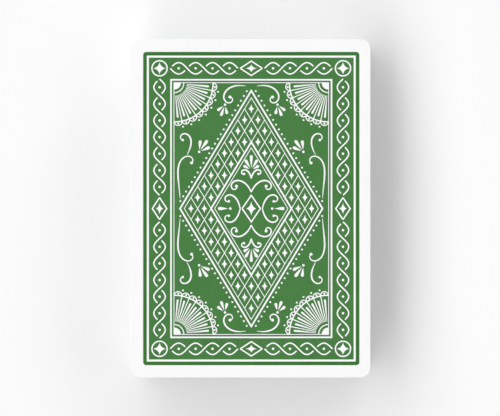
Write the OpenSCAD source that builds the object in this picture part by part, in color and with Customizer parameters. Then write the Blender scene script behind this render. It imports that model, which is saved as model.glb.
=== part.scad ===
// A squared deck of playing cards, lying face down.
// The origin is under the middle of the bottom card: +X is to the right, +Y along the cards, +Z up.

/* [Card] */
// Width of a card
card_w = 63; // [50:0.1:75]
// Length of a card
card_l = 88.9; // [70:0.1:125]
// Thickness of a card
card_t = 0.28; // [0.2:0.01:0.5]
// Radius of the four die-cut corners
corner_r = 2.6; // [1.5:0.1:5]
// Bevel that the die presses into the edge of the back, where it enters the paper
die_bevel = 0.05; // [0.01:0.01:0.12]

/* [Deck] */
// Air between neighbouring cards
air_gap = 0.02; // [0.01:0.01:0.1]
// How far a card in the squared deck may stand off the middle
jog = 0.1; // [0:0.01:0.3]
// Colour of the paper
paper_colour = "whitesmoke"; // [whitesmoke, white, ivory, linen]

/* [Hidden] */
RANKS = [
    "ace", "two", "three", "four", "five", "six", "seven",
    "eight", "nine", "ten", "jack", "queen", "king"
];
last_rank = len(RANKS) - 1;

// A new deck from the bottom card to the top one: two suits run up and two run down
NODES = concat(
    ["black_joker", "red_joker"],
    [for (rank = [0 : last_rank]) str(RANKS[rank], "_of_spades")],
    [for (rank = [0 : last_rank]) str(RANKS[rank], "_of_diamonds")],
    [for (rank = [last_rank : -1 : 0]) str(RANKS[rank], "_of_clubs")],
    [for (rank = [last_rank : -1 : 0]) str(RANKS[rank], "_of_hearts")]
);
$fn = 48;

top_card = len(NODES) - 1;
pitch = card_t + air_gap;

// Middles of the round corners, and the straight edges between them
corner_x = card_w / 2 - corner_r;
corner_y = card_l / 2 - corner_r;

// Each card stands off in its own direction, and the bottom and top cards stand true
golden_angle = 137.5;
function jog_at(place) =
    place == 0 || place == top_card
        ? [0, 0]
        : jog * [cos(golden_angle * place), sin(golden_angle * place)];

// Half of a card's section from its middle to its edge, seen along the edge
function edge_section(reach) = [
    [0, 0],
    [reach, 0],
    [reach, card_t - die_bevel],
    [reach - die_bevel, card_t],
    [0, card_t]
];

// The straight part of a card across one pair of edges
module edge_bar(reach, edge_l) {
    for (side = [0, 1])
        mirror([side, 0, 0])
            rotate([90, 0, 0])
                linear_extrude(edge_l, center = true)
                    polygon(edge_section(reach));
}

// One round corner, turned from the same section
module corner_round() {
    rotate_extrude()
        polygon(edge_section(corner_r));
}

// One card lying face down with its face at Z 0
module card() {
    color(paper_colour) {
        edge_bar(card_w / 2, 2 * corner_y);
        rotate([0, 0, 90])
            edge_bar(card_l / 2, 2 * corner_x);
        for (x = [-corner_x, corner_x], y = [-corner_y, corner_y])
            translate([x, y, 0])
                corner_round();
    }
}

// A card at its place in the deck, counted from the bottom
module card_in_deck(place) {
    translate(concat(jog_at(place), place * pitch))
        card();
}

for (place = [0 : top_card])
    card_in_deck(place);
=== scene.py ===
import cmath
import math

import bpy
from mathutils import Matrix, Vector
from mathutils.geometry import delaunay_2d_cdt


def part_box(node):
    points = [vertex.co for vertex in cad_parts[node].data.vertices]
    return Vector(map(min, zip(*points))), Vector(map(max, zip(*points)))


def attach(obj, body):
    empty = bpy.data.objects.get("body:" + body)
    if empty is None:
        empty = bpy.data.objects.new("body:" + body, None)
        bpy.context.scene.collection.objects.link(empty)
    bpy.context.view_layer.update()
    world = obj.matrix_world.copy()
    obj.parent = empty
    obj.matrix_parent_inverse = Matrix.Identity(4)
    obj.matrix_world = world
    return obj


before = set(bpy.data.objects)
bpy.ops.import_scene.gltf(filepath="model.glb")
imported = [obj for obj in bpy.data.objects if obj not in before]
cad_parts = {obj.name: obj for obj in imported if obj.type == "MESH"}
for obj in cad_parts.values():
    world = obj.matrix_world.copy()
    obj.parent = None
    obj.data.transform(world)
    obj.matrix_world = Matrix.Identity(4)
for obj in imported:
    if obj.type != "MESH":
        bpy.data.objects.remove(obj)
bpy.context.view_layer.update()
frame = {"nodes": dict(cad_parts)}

# Dresses a deck of cards: each card gets its paper, a printed back and a printed face.
# Prints are drawn in millimetres and as complex numbers: the real part runs across the card, the
# imaginary part along it, and the middle of the card is 0. The scene is in metres.
MM = 0.001
TOP_CARD = max(frame["nodes"], key=lambda name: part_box(name)[1].z)
card_low, card_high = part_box(TOP_CARD)

# From the middle of a card to its sides, in millimetres, and from one card to the next, in metres
CARD = complex(*((card_high - card_low) / 2 / MM).xy)
CARD_PITCH = card_low.z / (len(frame["nodes"]) - 1)

# How far a print stands off its paper, how far a drawn arc may stray, and how near points become one
FILM, ARC_ERROR, WELD = 0.007, 0.012, 0.0005

# Inks, and the bare paper between them
GREEN, DARK_GREEN, BLACK, RED, GOLD = "green_ink", "dark_green_ink", "black_ink", "red_ink", "gold_ink"
BARE = None

# Widths of lines, and radii of beads and of the eyes in which curls end
HAIR, FINE, LINE, RULE = 0.2, 0.28, 0.36, 0.44
SMALL_BEAD, BEAD, EYE = 0.26, 0.34, 0.4


# Lines and simple outlines

def polar(radius, heading):
    """The point at a distance from 0, with its heading in degrees."""
    return cmath.rect(radius, math.radians(heading))


def arc(centre, radius, start, stop):
    """Points on an arc from one heading to another, in degrees."""
    least = 3
    step = 2 * math.acos(1 - ARC_ERROR / radius)
    count = max(least, math.ceil(math.radians(abs(stop - start)) / step))
    return [centre + polar(radius, start + (stop - start) * k / count) for k in range(count + 1)]


def disc(centre, radius):
    """The outline of a round spot."""
    return arc(centre, radius, 0, 360)[:-1]


def bezier(start, lead, trail, end):
    """Points on a cubic curve, more of them on a longer one."""
    least, per_root = 6, 3
    length = abs(lead - start) + abs(trail - lead) + abs(end - trail)
    count = max(least, math.ceil(per_root * math.sqrt(length)))
    shares = [k / count for k in range(count + 1)]
    return [
        (1 - t) ** 3 * start + 3 * t * (1 - t) ** 2 * lead + 3 * t * t * (1 - t) * trail + t ** 3 * end
        for t in shares
    ]


def whole(half):
    """A symmetric outline, from its right half."""
    return half + [-p.conjugate() for p in reversed(half) if p.real > 0]


def between(values, share):
    """The value at a share, from 0 to 1, of the way through values that are evenly apart."""
    if len(values) == 1:
        return values[0]
    place = share * (len(values) - 1)
    step = min(int(place), len(values) - 2)
    return values[step] + (values[step + 1] - values[step]) * (place - step)


def stroke(path, *widths):
    """The outline of a line along a path. Its width runs evenly through the values given."""
    ways = [(q - p) / abs(q - p) for p, q in zip(path, path[1:])]
    runs = [0.0]
    for p, q in zip(path, path[1:]):
        runs.append(runs[-1] + abs(q - p))
    left, right = [], []
    for point, run, before, after in zip(path, runs, ways[:1] + ways, ways + ways[-1:]):
        mitre = (before + after) / (1 + (before.conjugate() * after).real)
        half = 1j * mitre * between(widths, run / runs[-1]) / 2
        left.append(point + half)
        right.append(point - half)
    return left + right[::-1]


def ring(centre, radius, width):
    """A round line, in two halves."""
    return [stroke(arc(centre, radius, turn, turn + 180), width) for turn in (0, 180)]


def drop(point, heading, length, width):
    """A solid drop that swells from its point to a round end."""
    radius, round_to = width / 2, 75
    # Points on its side, as shares of its length and of its radius
    side_shares = ((0.45, 0.62), (0.7, 0.93))
    side = [complex(along * length, out * radius) for along, out in side_shares]
    end = arc(length - radius, radius, -round_to, round_to)
    outline = [0j] + [p.conjugate() for p in side] + end + side[::-1]
    return [point + polar(1, heading) * p for p in outline]


def star(centre, reach):
    """Four points with hollow sides between them. The reach is half the width and half the height."""
    hollow, shares = 0.18, (0, 0.25, 0.5, 0.75)
    tips = [reach.real + 0j, reach.imag * 1j, -reach.real + 0j, reach.imag * -1j]
    outline = []
    for tip, after in zip(tips, tips[1:] + tips[:1]):
        pull = (tip + after) * hollow
        outline += [centre + (1 - t) ** 2 * tip + 2 * t * (1 - t) * pull + t * t * after for t in shares]
    return outline


def thinned(path, error=0.01):
    """The path without the points that it can do without."""
    kept, start = [path[0]], 0
    for end in range(2, len(path)):
        chord = path[end] - path[start]
        off = [abs(((p - path[start]) / chord).imag) * abs(chord) for p in path[start + 1:end]]
        if max(off) > error:
            start = end - 1
            kept.append(path[start])
    return kept + path[-1:]


def curl_path(start, eye, bends, count=240):
    """A flowing line from start to eye. Its bend, in radians over its length, runs through the values."""
    way, point, path = 1 + 0j, 0j, [0j]
    for step in range(count):
        half_turn = polar(1, math.degrees(between(bends, (step + 0.5) / count) / count / 2))
        way *= half_turn
        point += way
        way *= half_turn
        path.append(point)
    fit = (eye - start) / point
    return thinned([start + fit * p for p in path])


def curl(start, eye, bends, hand, widths, bead):
    """A line that swells and curls up to one side, with a bead in its eye."""
    path = curl_path(start, eye, [hand * bend for bend in bends])
    return [stroke(path, *widths), disc(eye, bead)]


def palmette(root, heading, lengths, spread, width):
    """Drops that open like a fan. The first length is the middle drop's, and the others come in pairs."""
    gap = 0.55
    headings = [(heading, lengths[0])]
    for k, length in enumerate(lengths[1:], 1):
        headings += [(heading + side * k * spread, length) for side in (-1, 1)]
    return [drop(root + polar(gap, way), way, length, width) for way, length in headings]


def inset(corner, by):
    """The corner of a rectangle that lies inside another by a distance."""
    return corner - by * (1 + 1j)


def bolder(widths, times):
    """Widths that are so many times as wide."""
    return [times * width for width in widths]


# The side to which a curl turns, its bends in radians over its length, and its widths, from start to eye
LEFT, RIGHT = 1, -1
VOLUTE = (1.2, 2.2, 4.2, 9, 20)
STEM = (-0.5, 0, 0.6, 3, 7.5, 20)
CROOK = (0.4, 2, 6, 14)
SWELL = (0.12, 0.40, 0.44, 0.36, 0.26)
ROOTED = (0.30, 0.42, 0.42, 0.36, 0.26)

# Ornament of the backs, drawn for the quarter of the panel with both parts positive

# The white margin, and how far the print is off the middle of the card
MARGIN = 3.1 + 3.3j
OFF_CENTRE = 0.19 - 0.04j

# Corner radii of the panel and of the grounds in it, the bands from its edge inwards, and the gap from
# the frame to the tips of the lozenge
PANEL_CORNER, GROUND_CORNER = 0.8, 0.1
EDGE_BAND, EDGE_RULE, BRAID_BAND = 0.94, 0.56, 5.6
LOZENGE_GAP = 1.5 + 2j

PANEL = CARD - MARGIN
RULE_CORNER = inset(PANEL, EDGE_BAND)
FIELD = inset(RULE_CORNER, EDGE_RULE)
FRAME = inset(FIELD, BRAID_BAND)
HAIR_FRAME = inset(FRAME, 2 * RULE)
INNER = inset(HAIR_FRAME, HAIR)
LOZENGE = INNER - LOZENGE_GAP


def quarter(corner, radius):
    """A quarter of a rectangle with a round corner, from the middle of the card."""
    return [0j, corner.real + 0j] + arc(inset(corner, radius), radius, 0, 90) + [corner.imag * 1j]


def frame_line(corner, width):
    """A rule round the panel whose outer edge is at the corner. It runs past both axes."""
    at, past = inset(corner, width / 2), 1
    return stroke([at.real - past * 1j, at, at.imag * 1j - past], width)


def braid(start, stop, eyes):
    """Two strands along the real axis that pass under each other in turn, with a bead in each eye."""
    sway, gap, steps = 1.5, 0.52, 12
    pitch = (stop - start) / eyes
    outlines = [disc(start + (eye + 0.5) * pitch, BEAD) for eye in range(eyes)]
    for strand, side in enumerate((1, -1)):
        for eye in range(strand - 1, eyes, 2):
            first = max(eye + gap / pitch, 0)
            last = min(eye + 2 - gap / pitch, eyes)
            count = steps * max(1, round(last - first))
            places = [first + (last - first) * k / count for k in range(count + 1)]
            path = [start + pitch * t + side * sway * math.sin(math.pi * t) * 1j for t in places]
            outlines.append(stroke(path, LINE))
    return outlines


def lozenge_line(reach, width):
    """One side of a lozenge, with mitred ends on both axes."""
    past = 0.05
    a, b = reach.real + 0j, reach.imag * 1j
    return stroke([a * (1 - past) - b * past, a, b, b * (1 - past) - a * past], width)


def shrunk(reach, by):
    """A lozenge whose sides lie inside those of another by a distance."""
    return reach * (1 - by * abs(reach) / (reach.real * reach.imag))


def diamond(reach, width):
    """The outline of a diamond, in an upper and a lower half."""
    upper = stroke([reach.real + 0j, reach.imag * 1j, -reach.real + 0j], width)
    return [upper, [p.conjugate() for p in upper]]


def border():
    """The braid round the panel, with a diamond in the middle of each side and a ring in each corner."""
    knot_end, knot_reach, knot_star = 3.5, 2.9 + 1.9j, 1.5 + 1j
    top_eyes, side_eyes = 4, 7
    ring_r, ring_star = 2, 1.6 + 1.6j
    middle = (FIELD + FRAME) / 2
    knot = diamond(knot_reach, LINE) + [star(0, knot_star)]
    top = braid(knot_end, FRAME.real, top_eyes) + knot
    side = braid(knot_end, FRAME.imag, side_eyes) + knot
    outlines = [[p + middle.imag * 1j for p in outline] for outline in top]
    outlines += [[1j * p.conjugate() + middle.real for p in outline] for outline in side]
    return outlines + ring(middle, ring_r, LINE) + [star(middle, ring_star)]


def corner_shell():
    """A fluted quarter shell in the corner of the frame, with a scalloped rim."""
    hub, collar, root, rim, flutes = 1.7, 2.5, 3.3, 10.2, 8
    rib_root, rib_tip, rib_short = 0.14, 0.52, 1.3
    overlap, collar_past, rim_past = 0.1 + 0.1j, 3, 1
    step = 90 / flutes
    scallop = rim * math.sin(math.radians(step / 2))

    def place(radius, heading):
        return INNER + polar(radius, heading)

    outlines = [[INNER + overlap] + arc(INNER, hub, 180, 270)]
    outlines.append(stroke(arc(INNER, collar, 180 - collar_past, 270 + collar_past), FINE))
    outlines.append(stroke(arc(INNER, rim, 180 - rim_past, 270 + rim_past), LINE))
    for k in range(flutes):
        heading = 180 + (k + 0.5) * step
        rib_end = place(rim - rib_short, heading)
        outlines.append(stroke([place(root, heading), rib_end], rib_root, rib_tip))
        outlines.append(disc(rib_end, rib_tip / 2))
        outlines.append(stroke(arc(place(rim, heading), scallop, heading - 90, heading + 90), FINE))
        outlines.append(disc(place(rim + scallop / 2, heading), SMALL_BEAD))
    for k in range(1, flutes):
        heading = 180 + k * step
        outlines.append(stroke([place(root, heading), place(rim, heading)], HAIR, FINE))
        outlines.append(disc(place(rim + 1.5 * scallop, heading), SMALL_BEAD))
    return outlines


def lattice(reach, cells, hollow):
    """Hair lines along the lozenge's sides with a star in each cell, left out in the hollow middle."""
    star_share, past_axis = 0.22, 0.6

    def place(u, v):
        return complex(reach.real * (u + v) / 2, reach.imag * (u - v) / 2)

    outlines = []
    for k in range(1 - cells, cells):
        at = k / cells
        spans = [(-1, 1)] if abs(k) >= hollow else [(-1, -hollow / cells), (hollow / cells, 1)]
        for low, high in spans:
            for ends in ((place(at, low), place(at, high)), (place(low, at), place(high, at))):
                if max(p.real for p in ends) > 0 and max(p.imag for p in ends) > 0:
                    outlines.append(stroke(ends, HAIR))
    for i in range(-cells, cells):
        for j in range(-cells, cells):
            centre = place((i + 0.5) / cells, (j + 0.5) / cells)
            if max(abs(i + 0.5), abs(j + 0.5)) > hollow and min(centre.real, centre.imag) > -past_axis:
                outlines.append(star(centre, star_share / cells * reach))
    return outlines


def lozenge():
    """The lozenge with its double lines, its lattice, its row of beads and its hollow middle."""
    cells, hollow, beads, row_end = 5, 3, 24, 0.06
    line_gap, inner_gap = 0.95, 0.8
    grid = shrunk(LOZENGE, line_gap)
    middle = grid * hollow / cells
    outlines = [lozenge_line(LOZENGE, RULE), lozenge_line(grid, HAIR)] + lattice(grid, cells, hollow)
    outlines += [lozenge_line(middle, RULE), lozenge_line(shrunk(middle, inner_gap), HAIR)]
    row = shrunk(LOZENGE, -line_gap)
    for k in range(beads):
        share = row_end + (1 - 2 * row_end) * k / (beads - 1)
        outlines.append(disc(complex(row.real * (1 - share), row.imag * share), SMALL_BEAD))
    return outlines


def middle_scrolls():
    """What fills the middle of the lozenge: a star in a diamond, with curls and palmettes round it."""
    star_reach, diamond_reach = 1.3 + 1.9j, 2.4 + 3.5j
    top_root, side_root = 10.1j, 5.5
    outlines = [star(0, star_reach)] + diamond(diamond_reach, LINE)
    outlines += curl(4.3j, 3.9 + 5.9j, VOLUTE, RIGHT, ROOTED, EYE)
    outlines += curl(7.9j, 1.9 + 9.1j, CROOK, RIGHT, ROOTED, BEAD)
    outlines += curl(2.9, 5.9 + 1.9j, CROOK, RIGHT, ROOTED, BEAD)
    outlines += palmette(top_root, 90, lengths=(3.4, 2.6, 1.8), spread=30, width=0.8)
    outlines += palmette(side_root, 0, lengths=(2.7,), spread=0, width=0.9)
    outlines.append(disc(side_root, BEAD))
    return outlines


def field_scrolls():
    """The curls and palmettes between the lozenge, the corner shells and the frame."""
    side_root, top_root = 13.7 + 14.9j, 6.9 + 27.3j
    outlines = curl(18.7 + 2.6j, 15.7 + 12j, STEM, LEFT, SWELL, EYE)
    outlines += curl(16.9 + 14.1j, 18 + 18j, CROOK, RIGHT, SWELL, BEAD)
    outlines += palmette(side_root, 126, lengths=(3.2, 2.5), spread=30, width=0.85)
    outlines.append(disc(side_root, BEAD))
    outlines += curl(1.5 + 32.2j, 5.6 + 29.3j, VOLUTE, RIGHT, SWELL, EYE)
    outlines += palmette(top_root, 290, lengths=(2.6, 2), spread=32, width=0.8)
    outlines.append(disc(top_root, BEAD))
    return outlines


def back_layers():
    """One quarter of the back: a dark band, a bare rule, the green field and its bare ornament."""
    grounds = [
        (DARK_GREEN, quarter(PANEL, PANEL_CORNER)),
        (BARE, quarter(RULE_CORNER, GROUND_CORNER)),
        (GREEN, quarter(FIELD, GROUND_CORNER)),
    ]
    lines = [frame_line(FRAME, RULE), frame_line(HAIR_FRAME, HAIR)]
    lines += border() + corner_shell() + lozenge() + middle_scrolls() + field_scrolls()
    return grounds + [(BARE, line) for line in lines]


# Faces, drawn upright as they look when the card is turned over sideways

RANKS = "ace two three four five six seven eight nine ten jack queen king".split()
SIGNS = dict(zip(RANKS, "A 2 3 4 5 6 7 8 9 10 J Q K".split()))
SUIT_INK = {"spades": BLACK, "clubs": BLACK, "hearts": RED, "diamonds": RED}

# Corner signs: their line, their place in the corner, the step to the small pip below, and its size
SIGN_LINE = 0.9
INDEX_INSET = 5.3 + 7.6j
INDEX_AT = -(CARD - INDEX_INSET).conjugate()
INDEX_STEP, INDEX_PIP = -7j, 4.8

# Heights of pips, and how far the outer ones of a number card are from the middle
PIP, ACE, ACE_OF_SPADES = 11, 22, 36
PIP_REACH = 12.6 + 27j

# The corner of the picture on a court card
COURT_MARGIN = 11.6 + 8.6j
COURT = CARD - COURT_MARGIN

# Rows of pips in the two side columns, mirrored about the middle, and in the middle column
SIDE_ROWS = {4: (1,), 5: (1,), 6: (1, 0), 7: (1, 0), 8: (1, 0), 9: (1, 1 / 3), 10: (1, 1 / 3)}
MIDDLE_ROWS = {
    2: (1, -1), 3: (1, 0, -1), 5: (0,), 7: (0.5,), 8: (0.5, -0.5), 9: (0,), 10: (2 / 3, -2 / 3)
}


def curve(size, *points):
    """A cubic curve whose points are shares of a size."""
    return bezier(*[size * p for p in points])


def foot(size):
    """The foot of a spade or a club."""
    half = bezier(0.05 + 0.1j, 0.05 - 0.3j, 0.1 - 0.46j, 0.24 - 0.54j) + [-0.54j]
    return whole([size * p for p in half])


def spade_leaf(size):
    """A spade without its foot."""
    tip, side, root = 0.54j, 0.46 - 0.14j, -0.14j
    upper = curve(size, tip, 0.1 + 0.3j, 0.46 + 0.12j, side)
    return whole(upper + curve(size, side, 0.46 - 0.4j, 0.12 - 0.4j, root)[1:])


def heart(size):
    notch, side, tip = 0.26j, 0.48 + 0.17j, -0.54j
    upper = curve(size, notch, 0.1 + 0.5j, 0.5 + 0.52j, side)
    return [whole(upper + curve(size, side, 0.46 - 0.1j, 0.13 - 0.24j, tip)[1:])]


def diamond_pip(size):
    tip, side = 0.56j, 0.41
    upper = curve(size, tip, 0.1 + 0.29j, 0.27 + 0.12j, side)
    return [whole(upper + [p.conjugate() for p in reversed(upper[:-1])])]


def club(size):
    leaf, heart_of_leaves = 0.235 * size, 0.1 * size
    middles = (0.29j, 0.25 - 0.07j, -0.25 - 0.07j)
    leaves = [disc(middle * size, leaf) for middle in middles]
    return leaves + [disc(0.02j * size, heart_of_leaves), foot(size)]


def spade(size):
    return [spade_leaf(size), foot(size)]


SUIT_SHAPES = {"spades": spade, "hearts": heart, "diamonds": diamond_pip, "clubs": club}


def pip(suit, centre, size, upright=True):
    """The layers of one suit sign."""
    turn = 1 if upright else -1
    return [(SUIT_INK[suit], [centre + turn * p for p in outline]) for outline in SUIT_SHAPES[suit](size)]


def half_turned(layers):
    """The same layers after half a turn."""
    return [(ink, [-p for p in outline]) for ink, outline in layers]


def side_mirrored(layers):
    """The same layers with left and right exchanged."""
    return [(ink, [-p.conjugate() for p in outline]) for ink, outline in layers]


def oval(centre, reach):
    """An upright oval, as two open paths."""
    halves = []
    for turn in (0, 180):
        circle = arc(0, 1, turn, turn + 180)
        halves.append([centre + complex(reach.real * p.real, reach.imag * p.imag) for p in circle])
    return halves


def sign_paths(sign):
    """The middles of the lines of a rank's sign, drawn round the middle of the sign."""
    six = oval(-1.2j, 1.55 + 1.55j) + [bezier(-1.55 - 1.2j, -1.55 + 1.2j, -0.4 + 2.75j, 1.3 + 2.75j)]
    return {
        "A": [[-1.85 - 3.1j, -0.12 + 3.1j], [0.12 + 3.1j, 1.85 - 3.1j], [-1.2 - 1.1j, 1.2 - 1.1j]],
        "2": [arc(1.15j, 1.6, 165, -35) + [-1.45 - 2.6j], [-1.9 - 2.75j, 1.85 - 2.75j]],
        "3": [arc(1.425j, 1.325, 160, -90), arc(-1.325j, 1.425, 90, -160)],
        "4": [[0.6 + 2.9j, -1.75 - 1.2j], [-2.05 - 1.3j, 2 - 1.3j], [0.8 + 3.2j, 0.8 - 3.2j]],
        "5": [[1.6 + 2.75j, -1.3 + 2.75j, -1.4 + 0.2j], arc(-0.1 - 1.05j, 1.7, 140, -145)],
        "6": six,
        "7": [[-1.8 + 2.75j, 1.85 + 2.75j], [1.5 + 2.7j, -0.6 - 3.2j]],
        "8": oval(1.45j, 1.3 + 1.3j) + oval(-1.3j, 1.45 + 1.45j),
        "9": [[-p for p in path] for path in six],
        "10": [[-1.75 + 3.2j, -1.75 - 3.2j]] + oval(0.85, 1.25 + 2.75j),
        "J": [[0.95 + 3.2j, 0.95 - 1.4j] + arc(-0.4 - 1.4j, 1.35, 0, -165)[1:]],
        "Q": oval(0, 1.75 + 2.75j) + [[0.35 - 1.3j, 1.9 - 3.2j]],
        "K": [[-1.5 + 3.2j, -1.5 - 3.2j], [1.75 + 3.1j, -1.4 - 0.7j], [-0.5 + 0.5j, 1.9 - 3.1j]],
    }[sign]


def index(sign, suit):
    """The corner sign with its small pip, and the same after half a turn."""
    lines = [stroke(path, SIGN_LINE) for path in sign_paths(sign)]
    layers = [(SUIT_INK[suit], [INDEX_AT + p for p in line]) for line in lines]
    layers += pip(suit, INDEX_AT + INDEX_STEP, INDEX_PIP)
    return layers + half_turned(layers)


def number_pips(count, suit):
    """The pips of a number card. Those below the middle stand upside down."""
    layers = []
    for row in SIDE_ROWS.get(count, ()):
        for side in (-1, 1):
            place = complex(side * PIP_REACH.real, row * PIP_REACH.imag)
            layers += pip(suit, place, PIP)
            if row > 0:
                layers += pip(suit, place.conjugate(), PIP, upright=False)
    for row in MIDDLE_ROWS.get(count, ()):
        layers += pip(suit, row * PIP_REACH.imag * 1j, PIP, upright=row >= 0)
    return layers


def ace_of_spades():
    """A large spade with a bare line inside its edge, and bare curls and a star in its middle."""
    rim, middle = 0.84, 0.8
    large, small = 2, 1.8
    layers = [(BLACK, outline) for outline in spade(ACE_OF_SPADES)]
    layers += [(BARE, spade_leaf(rim * ACE_OF_SPADES)), (BLACK, spade_leaf(middle * ACE_OF_SPADES))]
    right = curl(0.4 - 2.5j, 6.6 - 3.6j, VOLUTE, RIGHT, bolder(ROOTED, large), large * EYE)
    right += curl(0.3 + 4.5j, 3.6 + 2.7j, CROOK, RIGHT, bolder(ROOTED, small), small * BEAD)
    bare = [(BARE, outline) for outline in right]
    bare += side_mirrored(bare)
    bare += [(BARE, star(0.6j, 1.5 + 2.4j)), (BARE, drop(5.4j, 90, length=5, width=1.3))]
    return layers + bare


def face_frame(ink):
    """A rule round the picture of a court card, with a hair line inside it."""
    layers = []
    for corner, width in ((COURT, RULE), (inset(COURT, 2 * RULE), HAIR)):
        right = stroke([corner.imag * -1j, corner.conjugate(), corner, corner.imag * 1j], width)
        layers.append((ink, right))
    return layers + side_mirrored(layers)


def block(low, high):
    """A rectangle, from its lower left and upper right corners."""
    return [low, complex(high.real, low.imag), high, complex(low.real, high.imag)]


def middle_band(ink):
    """The band that parts the two halves of a court card: a braid on gold between two rules."""
    half_height, eyes, braid_short = 3.2, 9, 1.1
    end = complex(inset(COURT, 2 * RULE).real, half_height)
    layers = [(GOLD, block(-end, end))]
    for edge in ([-end.conjugate(), end], [-end, end.conjugate()]):
        layers.append((BLACK, stroke(edge, LINE)))
    reach = end.real - braid_short
    return layers + [(ink, outline) for outline in braid(-reach, reach, eyes)]


# Emblems of the court cards, drawn in the upper half of the card. A crown stands on this base.
CROWN_BASE = 13.6j


def crown_band(ink):
    """The band under a crown, set with stones."""
    top, bottom = 9.8 + 12.9j, 9.4 + 9.6j
    stone, stone_height = 0.95, 11.25j
    layers = [(GOLD, whole([top, bottom]))]
    for x in (-6.4, 0, 6.4):
        layers.append((ink, disc(x + stone_height, stone)))
    for x in (-3.2, 3.2):
        layers.append((BLACK, star(x + stone_height, 1 + 1.2j)))
    return layers


def king_crown(ink):
    """Five straight spires with a bead on each, over a lining."""
    bead, bead_lift = 1.05, 0.6j
    tips = [25j, 5.7 + 23.6j, 11.9 + 22.2j]
    spires = [tips[0], 2.3 + 17.4j, tips[1], 7.1 + 17j, tips[2], 10 + CROWN_BASE, CROWN_BASE]
    lining = [18.2j, 5.4 + 18j, 9.8 + 15.6j, 9.8 + CROWN_BASE, CROWN_BASE]
    layers = [(ink, whole(lining)), (GOLD, whole(spires))]
    for tip in whole(tips):
        layers.append((ink, disc(tip + bead_lift, bead)))
    return layers + [(BLACK, drop(15j, 90, length=5.6, width=1.3))] + crown_band(ink)


def queen_crown(ink):
    """A coronet whose rim sweeps in hollows from pearl to pearl."""
    pearl, pearl_rim, pearl_lift = 0.95, 0.4, 0.7j
    tips = [22.5j, 5.2 + 21.6j, 11.4 + 21j]
    rim = bezier(tips[0], 0.8 + 15.4j, 4.2 + 15.4j, tips[1])
    rim += bezier(tips[1], 5.8 + 15j, 9.4 + 15j, tips[2])[1:]
    layers = [(GOLD, whole(rim + [9.9 + CROWN_BASE, CROWN_BASE]))]
    for tip in whole(tips):
        middle = tip + pearl_lift
        layers += [(BLACK, disc(middle, pearl + pearl_rim)), (BARE, disc(middle, pearl))]
    layers += [(ink, star(x + 15.6j, 1 + 1.3j)) for x in (-7.6, -2.5, 2.5, 7.6)]
    return layers + crown_band(ink)


def jack_shield(ink):
    """A shield over two crossed spears."""
    middle, corner, tip, shaft_w = 17j, 8.2 + 24.6j, 7.6j, 0.7
    shaft = stroke([-12 + 6.5j, 11 + 20.5j], shaft_w)
    head = drop(15.2 + 23.1j, 211, length=5.4, width=2.2)
    spear = [(BLACK, shaft), (ink, head)]
    outer = whole([24j, corner] + bezier(corner, 8.6 + 16j, 5.4 + 11j, tip)[1:])
    layers = spear + side_mirrored(spear) + [(GOLD, outer)]
    for colour, scale in ((ink, 0.84), (BARE, 0.76)):
        layers.append((colour, [middle + (p - middle) * scale for p in outer]))
    return layers


COURTS = {"jack": jack_shield, "queen": queen_crown, "king": king_crown}


def court(rank, suit):
    """A court card: the same emblem in both halves, each with its suit sign, and curls at its sides."""
    ink = SUIT_INK[suit]
    side_root, top_root, top_row = 16.4 + 13.4j, 13.8 + 27.6j, 30.6j
    curl_eye, root_bead, row_bead, curl_weight = 0.75, 0.6, 0.5, 1.7
    corner_pip_at, corner_pip = -14.2 + 30j, 8
    shield_pip_at, shield_pip = 17.4j, 9
    scrolls = curl(0.3 + 4.6j, 14.2 + 9.4j, VOLUTE, LEFT, bolder(SWELL, curl_weight), curl_eye)
    scrolls += palmette(side_root, 84, lengths=(4.6, 3.6), spread=26, width=1.2)
    scrolls.append(disc(side_root, root_bead))
    sides = [(BLACK, outline) for outline in scrolls]
    half = sides + side_mirrored(sides) + COURTS[rank](ink) + pip(suit, corner_pip_at, corner_pip)
    top = palmette(top_root, 90, lengths=(5.4, 4.4, 3.2), spread=32, width=1.4)
    half += [(ink, outline) for outline in top]
    half += [(ink, disc(top_root, root_bead)), (GOLD, star(top_row, 1.6 + 2.4j))]
    half += [(ink, disc(x + top_row, row_bead)) for x in (-4, 4)]
    if rank == "jack":
        half += pip(suit, shield_pip_at, shield_pip)
    return face_frame(ink) + half + half_turned(half) + middle_band(ink)


def bell(centre):
    """A small round bell with a slot."""
    radius, outline, slot_reach, slot_w = 1.7, 0.35, 0.8, 0.4
    slot = stroke([centre - slot_reach, centre + slot_reach], slot_w)
    return [(BLACK, disc(centre, radius)), (GOLD, disc(centre, radius - outline)), (BLACK, slot)]


def joker(ink):
    """A cap with three horns and their bells, over a collar of points, and stars in two corners."""
    brim, collar, point_tip = -8j, -12j, -18.5j
    point_w, point_bead, bead_drop = 4.4, 0.8, 0.7j
    horn_tip, horn_bell = 17.4 - 0.5j, 17.6 - 1.8j
    horn = bezier(1.5 + brim, 4 + 9j, 15 + 12j, horn_tip)
    horn += bezier(horn_tip, 13.5 + 5j, 10.5, 10.2 + brim)[1:]
    middle = whole(bezier(17.5j, 1.4 + 10j, 5.4 + 3j, 5.8 + brim) + [brim])
    layers = side_mirrored([(ink, horn)]) + [(ink, horn), (GOLD, middle)]
    layers += bell(18.6j) + bell(horn_bell) + bell(-horn_bell.conjugate())
    point = [-point_w / 2 + collar, point_tip, point_w / 2 + collar]
    for k in range(-2, 3):
        layers.append((ink if k % 2 else GOLD, [point_w * k + p for p in point]))
        layers.append((BLACK, disc(point_w * k + point_tip - bead_drop, point_bead)))
    layers.append((BLACK, whole([10.8 + brim, 11.2 + collar])))
    layers += [(GOLD, star(x + (brim + collar) / 2, 1.2 + 1.5j)) for x in (-8, -4, 0, 4, 8)]
    corner = [(ink, star(INDEX_AT, 2.4 + 3.2j)), (ink, star(INDEX_AT + INDEX_STEP, 1.5 + 2j))]
    return layers + corner + half_turned(corner)


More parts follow.
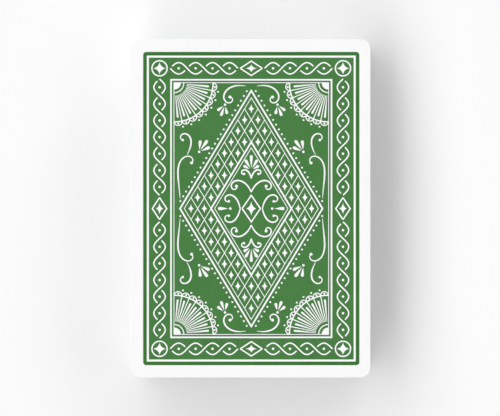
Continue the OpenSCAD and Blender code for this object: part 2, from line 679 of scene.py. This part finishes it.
def face_layers(name):
    """Everything printed on the face of the card with that name."""
    if name.endswith("joker"):
        return joker(RED if name.startswith("red") else BLACK)
    rank, suit = name.split("_of_")
    layers = index(SIGNS[rank], suit)
    if rank in COURTS:
        return layers + court(rank, suit)
    if name == "ace_of_spades":
        return layers + ace_of_spades()
    if rank == "ace":
        return layers + pip(suit, 0, ACE)
    return layers + number_pips(RANKS.index(rank) + 1, suit)


# From layers of ink to meshes

def turning(outline):
    """Twice the area of an outline, positive where it runs against the clock."""
    return sum((p.conjugate() * q).imag for p, q in zip(outline, outline[1:] + outline[:1]))


def inked(layers, bounded=False):
    """Triangles with their ink. The last layer that covers a triangle gives its ink, or leaves it bare.
    A bounded print ends at the outline of its first layer."""
    points, outlines = [], []
    for _, outline in layers:
        start = len(points)
        points += outline if turning(outline) > 0 else outline[::-1]
        outlines.append(list(range(start, len(points))))
    plane = [Vector((p.real, p.imag)) for p in points]
    places, _, faces, _, _, covers = delaunay_2d_cdt(plane, [], outlines, 1, WELD)
    found = []
    for face, cover in zip(faces, covers):
        ink = layers[max(cover)][0] if cover else BARE
        if ink and (0 in cover or not bounded):
            found.append((ink, [complex(*places[corner]) for corner in face]))
    return found


def mirrored(triangles):
    """The same triangles with left and right exchanged, in an order that keeps them facing up."""
    return [(ink, [-p.conjugate() for p in reversed(corners)]) for ink, corners in triangles]


def turned(triangles):
    """The same triangles after half a turn."""
    return [(ink, [-p for p in corners]) for ink, corners in triangles]


def print_mesh(name, triangles):
    """A flat mesh of inked triangles, with one material for each ink and a map as wide as the card."""
    digits = 4
    corner_of, faces = {}, []
    for _, corners in triangles:
        keys = [(round(p.real, digits), round(p.imag, digits)) for p in corners]
        faces.append([corner_of.setdefault(key, len(corner_of)) for key in keys])
    mesh = bpy.data.meshes.new(name)
    mesh.from_pydata([(x * MM, y * MM, 0) for x, y in corner_of], [], faces)
    inks = sorted({ink for ink, _ in triangles})
    for ink in inks:
        mesh.materials.append(INKS[ink])
    mesh.polygons.foreach_set("material_index", [inks.index(ink) for ink, _ in triangles])
    plan = mesh.uv_layers.new(name="OFBake")
    for loop, spot in zip(mesh.loops, plan.data):
        x, y, _ = mesh.vertices[loop.vertex_index].co / MM
        spot.uv = (0.5 + x / CARD.real / 2, 0.5 + y / CARD.imag / 2)
    return mesh


# Materials

# Features per metre of the patterns in paper, ink and floor
CLOUDS, FIBRES, TUFTS, DIMPLES = 160, 1400, 2600, 1500
GLOSS_PATCHES, INK_PATCHES, FLOOR_CLOUDS = 350, 120, 3

# The coated satin finish and its dimples
SHEEN, PAPER_ROUGHNESS, INK_ROUGHNESS, ROUGHNESS_SPREAD = 0.08, 0.52, 0.5, 0.12
DIMPLE_DEPTH, DIMPLE_STRENGTH, DIMPLE_SCATTER = 0.00002, 0.2, 0.35

# Levels of grey of the patterns in paper, and of the tone of whole cut edges
CLOUD_LEVELS, FIBRE_LEVELS = (248, 251), (246, 252)
TUFT_LEVELS, TONE_LEVELS = (238, 255), (230, 255)

# Levels of grey through a card, by shares of its thickness: two sheets with a glue line between them,
# and the edge of the back, which the die pressed down and which is also darkened as painted shade of the
# gap to the next card
FACE_LEVEL, PRESSED_EDGE_AND_GAP_SHADE_LEVEL = 247, 222
INNER_LEVELS = ((0.38, 252), (0.46, 222), (0.54, 252), (0.78, 250))


def linear(red, green, blue):
    """An sRGB colour from 0 to 255 as Blender's linear numbers."""
    def channel(value):
        value /= 255
        return value / 12.92 if value <= 0.04045 else ((value + 0.055) / 1.055) ** 2.4

    return channel(red), channel(green), channel(blue), 1


def grey(level):
    return linear(level, level, level)


def cool_grey(level):
    """A grey with a trace of blue, as in the cut edge of bright white paper."""
    return linear(level - 1, level - 0.5, level)


def feed(tree, node, inputs):
    """Gives each of these inputs a value, or the socket that feeds it."""
    for name, value in inputs.items():
        if isinstance(value, bpy.types.NodeSocket):
            tree.links.new(value, node.inputs[name])
        else:
            node.inputs[name].default_value = value


def add(tree, kind, inputs=None, **settings):
    """A new shader node."""
    node = tree.nodes.new("ShaderNode" + kind)
    for name, value in settings.items():
        setattr(node, name, value)
    feed(tree, node, inputs or {})
    return node


def computed(tree, operation, *values):
    """The result of one step of arithmetic."""
    return add(tree, "Math", dict(enumerate(values)), operation=operation).outputs["Value"]


def noise(tree, place, scale, stretch=(1, 1, 1), detail=4):
    """Noise with so many features per metre."""
    spread = add(tree, "Mapping", {"Vector": place, "Scale": stretch}).outputs["Vector"]
    return add(tree, "TexNoise", {"Vector": spread, "Scale": scale, "Detail": detail}).outputs["Fac"]


def shades(tree, factor, first, second):
    """A colour between two shades, for a factor that stays near a half."""
    ends = (0.3, 0.7)
    ramp = add(tree, "ValToRGB", {"Fac": factor})
    for element, position, colour in zip(ramp.color_ramp.elements, ends, (first, second)):
        element.position = position
        element.color = colour
    return ramp.outputs["Color"]


def blended(tree, share, first, second, way="MIX"):
    """The first colour with a share of the second laid over it."""
    colours = {"Factor": share, "A": first, "B": second}
    return add(tree, "Mix", colours, data_type="RGBA", blend_type=way).outputs["Result"]


def embossed(tree, place):
    """The small dimples that the mill rolls into card stock."""
    cells = add(tree, "TexVoronoi", {"Vector": place, "Scale": DIMPLES, "Randomness": DIMPLE_SCATTER})
    bump = {"Height": cells.outputs["Distance"], "Strength": DIMPLE_STRENGTH, "Distance": DIMPLE_DEPTH}
    return add(tree, "Bump", bump).outputs["Normal"]


def satin_patches(tree, place):
    """Roughness that wanders a little over the bare stock."""
    low, high = PAPER_ROUGHNESS - ROUGHNESS_SPREAD, PAPER_ROUGHNESS + ROUGHNESS_SPREAD
    patches = {"Value": noise(tree, place, GLOSS_PATCHES), "To Min": low, "To Max": high}
    return add(tree, "MapRange", patches).outputs["Result"]


def finish_surface(tree, place, colour, roughness):
    """The coated and embossed surface that paper and ink share."""
    feed(tree, tree.nodes["Principled BSDF"], {
        "Base Color": colour,
        "Roughness": roughness,
        "Specular IOR Level": SHEEN,
        "Normal": embossed(tree, place),
    })


def new_material(name):
    """A material with its nodes, and the socket that tells where on the piece a spot is."""
    material = bpy.data.materials.new(name)
    material.use_nodes = True
    place = add(material.node_tree, "TexCoord").outputs["Object"]
    return material, material.node_tree, place


def card_layers(tree, place):
    """The greys across the cut edge of a card, from its face to its back, with painted shade by the gap
    at its back.
    """
    height = add(tree, "SeparateXYZ", {"Vector": place}).outputs["Z"]
    through = computed(tree, "FRACT", computed(tree, "DIVIDE", height, CARD_PITCH))
    shade = add(tree, "ValToRGB", {"Fac": through})
    ramp = shade.color_ramp
    ramp.elements[0].color = cool_grey(FACE_LEVEL)
    # The back end of the edge is darker: partly the die-pressed edge, partly painted shade of the gap to
    # the next card
    ramp.elements[1].color = cool_grey(PRESSED_EDGE_AND_GAP_SHADE_LEVEL)
    for share, level in INNER_LEVELS:
        ramp.elements.new(share).color = cool_grey(level)
    return shade.outputs["Color"]


def cut_edge(tree, place):
    """The cut edge of a card: its layers with painted shade by the gap at its back, loose fibres, and a
    tone that differs from card to card.
    """
    upright = (0.3, 0.3, 3)
    tufts = shades(tree, noise(tree, place, TUFTS, upright), *map(cool_grey, TUFT_LEVELS))
    tone = shades(tree, add(tree, "ObjectInfo").outputs["Random"], *map(cool_grey, TONE_LEVELS))
    tufted = blended(tree, 1, card_layers(tree, place), tufts, "MULTIPLY")
    return blended(tree, 1, tufted, tone, "MULTIPLY")


def paper():
    """White card stock, with faint clouds and fibres on its two faces."""
    lengthwise, fibre_share, steep = (1, 0.2, 1), 0.4, 0.5
    material, tree, place = new_material("card_stock")
    clouds = shades(tree, noise(tree, place, CLOUDS), *map(grey, CLOUD_LEVELS))
    fibres = shades(tree, noise(tree, place, FIBRES, lengthwise), *map(grey, FIBRE_LEVELS))
    face = blended(tree, fibre_share, clouds, fibres)
    normal = add(tree, "NewGeometry").outputs["Normal"]
    slope = add(tree, "SeparateXYZ", {"Vector": normal}).outputs["Z"]
    flat = computed(tree, "GREATER_THAN", computed(tree, "ABSOLUTE", slope), steep)
    colour = blended(tree, flat, cut_edge(tree, place), face)
    finish_surface(tree, place, colour, satin_patches(tree, place))
    return material


def ink_material(name, first, second):
    """Printing ink, whose density varies a little over the sheet."""
    material, tree, place = new_material(name)
    colour = shades(tree, noise(tree, place, INK_PATCHES, detail=8), first, second)
    finish_surface(tree, place, colour, INK_ROUGHNESS)
    return material


INKS = {
    GREEN: ink_material(GREEN, linear(67, 120, 62), linear(74, 126, 69)),
    DARK_GREEN: ink_material(DARK_GREEN, linear(52, 110, 46), linear(60, 116, 54)),
    BLACK: ink_material(BLACK, linear(24, 24, 26), linear(32, 32, 34)),
    RED: ink_material(RED, linear(190, 32, 40), linear(198, 38, 46)),
    GOLD: ink_material(GOLD, linear(214, 164, 58), linear(222, 173, 68)),
}
card_stock = paper()

# Prints on the cards

corner_patch = inked(back_layers(), bounded=True)
half_patch = corner_patch + mirrored(corner_patch)
back_mesh = print_mesh("card_back", half_patch + turned(half_patch))


def lay(name, mesh, card, place):
    """Puts a print on a card, so that it moves with it."""
    sheet = bpy.data.objects.new(name, mesh)
    sheet.location = place
    bpy.context.scene.collection.objects.link(sheet)
    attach(sheet, card)


for name, card in frame["nodes"].items():
    card.data.materials.clear()
    card.data.materials.append(card_stock)
    low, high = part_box(name)
    middle = (low + high) / 2
    over = (middle.x + OFF_CENTRE.real * MM, middle.y + OFF_CENTRE.imag * MM, high.z + FILM * MM)
    lay(name + "_back", back_mesh, name, over)
    face_mesh = print_mesh(name + "_face", mirrored(inked(face_layers(name))))
    lay(name + "_face", face_mesh, name, (middle.x, middle.y, low.z - FILM * MM))

# Studio: camera, floor, lamps and background

# The size of the photograph and where it shows the middle of the card, in pixels from its top left,
# and its scale on top of the deck
IMAGE_W, IMAGE_H = 500, 416
CARD_SEEN_AT = 250.55 + 208.4j
PIXELS_PER_MM = 3.806
LENS_MM, SENSOR_MM = 150, 36

view_w = IMAGE_W / PIXELS_PER_MM * MM
camera = bpy.data.objects.new("camera", bpy.data.cameras.new("camera"))
camera.data.lens = LENS_MM
camera.data.sensor_width = SENSOR_MM
camera.location = (
    (IMAGE_W / 2 - CARD_SEEN_AT.real) / PIXELS_PER_MM * MM,
    (CARD_SEEN_AT.imag - IMAGE_H / 2) / PIXELS_PER_MM * MM,
    card_high.z + view_w * LENS_MM / SENSOR_MM,
)
bpy.context.scene.collection.objects.link(camera)
bpy.context.scene.camera = camera

# The floor, its shades as it is seen and as it lights the deck, the distances at which it runs out into
# the background, and the background's brightness
FLOOR_W = 30
FLOOR_SEEN, FLOOR_BOUNCE = (grey(249), grey(251)), grey(225)
PLAIN_FROM, PLAIN_TO = 0.2, 0.8
WHITE, BACKGROUND = (1, 1, 1, 1), 0.96


def seen_straight(tree):
    """1 for rays from the camera, a mirror or a pane of glass, and 0 for the light on the deck."""
    ray = add(tree, "LightPath").outputs
    shown = computed(tree, "MAXIMUM", ray["Is Camera Ray"], ray["Is Glossy Ray"])
    return computed(tree, "MAXIMUM", shown, ray["Is Transmission Ray"])


def floor_material():
    """A matt pale floor round the deck, which runs out into the plain background further off."""
    material, tree, place = new_material("floor")
    seen = seen_straight(tree)
    pale = shades(tree, noise(tree, place, FLOOR_CLOUDS), *FLOOR_SEEN)
    colour = blended(tree, seen, FLOOR_BOUNCE, pale)
    shader = tree.nodes["Principled BSDF"]
    feed(tree, shader, {"Base Color": colour, "Roughness": 1, "Specular IOR Level": 0})
    plain = add(tree, "Emission", {"Color": WHITE, "Strength": BACKGROUND})
    distance = add(tree, "VectorMath", {0: place}, operation="LENGTH").outputs["Value"]
    reach = {"Value": distance, "From Min": PLAIN_FROM, "From Max": PLAIN_TO}
    far = add(tree, "MapRange", reach, interpolation_type="SMOOTHSTEP").outputs["Result"]
    share = computed(tree, "MULTIPLY", far, seen)
    mix = add(tree, "MixShader", {"Fac": share, 1: shader.outputs["BSDF"], 2: plain.outputs["Emission"]})
    feed(tree, tree.nodes["Material Output"], {"Surface": mix.outputs["Shader"]})
    return material


bpy.ops.mesh.primitive_plane_add(size=FLOOR_W, location=(0, 0, -2 * FILM * MM))
floor = bpy.context.object
floor.name = "floor"
floor.data.materials.append(floor_material())

# How far off the lamps are, and the light from all round, as a share of full light
LAMP_DISTANCE = 8
AMBIENT = 0.05


def filled_share(across, up):
    """How much of the light from all round a lamp gives a surface that faces it, by its half sizes."""
    def part(side, other):
        reach = math.hypot(1, side)
        return side / reach * math.atan(other / reach)

    return (part(across, up) + part(up, across)) * 2 / math.pi


def softbox(name, azimuth, elevation, half_w, half_h, share):
    """A soft lamp that spans twice the half angles given, in degrees, and gives a level white surface at
    the deck so large a share of full light."""
    across, up = math.tan(math.radians(half_w)), math.tan(math.radians(half_h))
    lamp = bpy.data.lights.new(name, "AREA")
    lamp.shape = "RECTANGLE"
    lamp.size = 2 * LAMP_DISTANCE * across
    lamp.size_y = 2 * LAMP_DISTANCE * up
    radiance = share / (filled_share(across, up) * math.sin(math.radians(elevation)))
    lamp.energy = math.pi * lamp.size * lamp.size_y * radiance
    holder = bpy.data.objects.new(name, lamp)
    way = polar(math.cos(math.radians(elevation)), azimuth)
    holder.location = LAMP_DISTANCE * Vector((way.real, way.imag, math.sin(math.radians(elevation))))
    holder.rotation_euler = (-holder.location).to_track_quat("-Z", "Y").to_euler()
    bpy.context.scene.collection.objects.link(holder)


softbox("left", azimuth=190, elevation=50, half_w=54, half_h=17, share=0.515)
softbox("back", azimuth=84, elevation=26, half_w=42, half_h=10, share=0.258)
softbox("right", azimuth=0, elevation=34, half_w=24, half_h=15, share=0.097)
softbox("front", azimuth=270, elevation=34, half_w=24, half_h=15, share=0.083)

world = bpy.data.worlds.new("studio")
bpy.context.scene.world = world
world.use_nodes = True
sky = world.node_tree
brightness = add(sky, "MapRange", {"Value": seen_straight(sky), "To Min": AMBIENT, "To Max": BACKGROUND})
feed(sky, sky.nodes["Background"], {"Color": WHITE, "Strength": brightness.outputs["Result"]})
bpy.context.scene.view_settings.view_transform = "Standard"
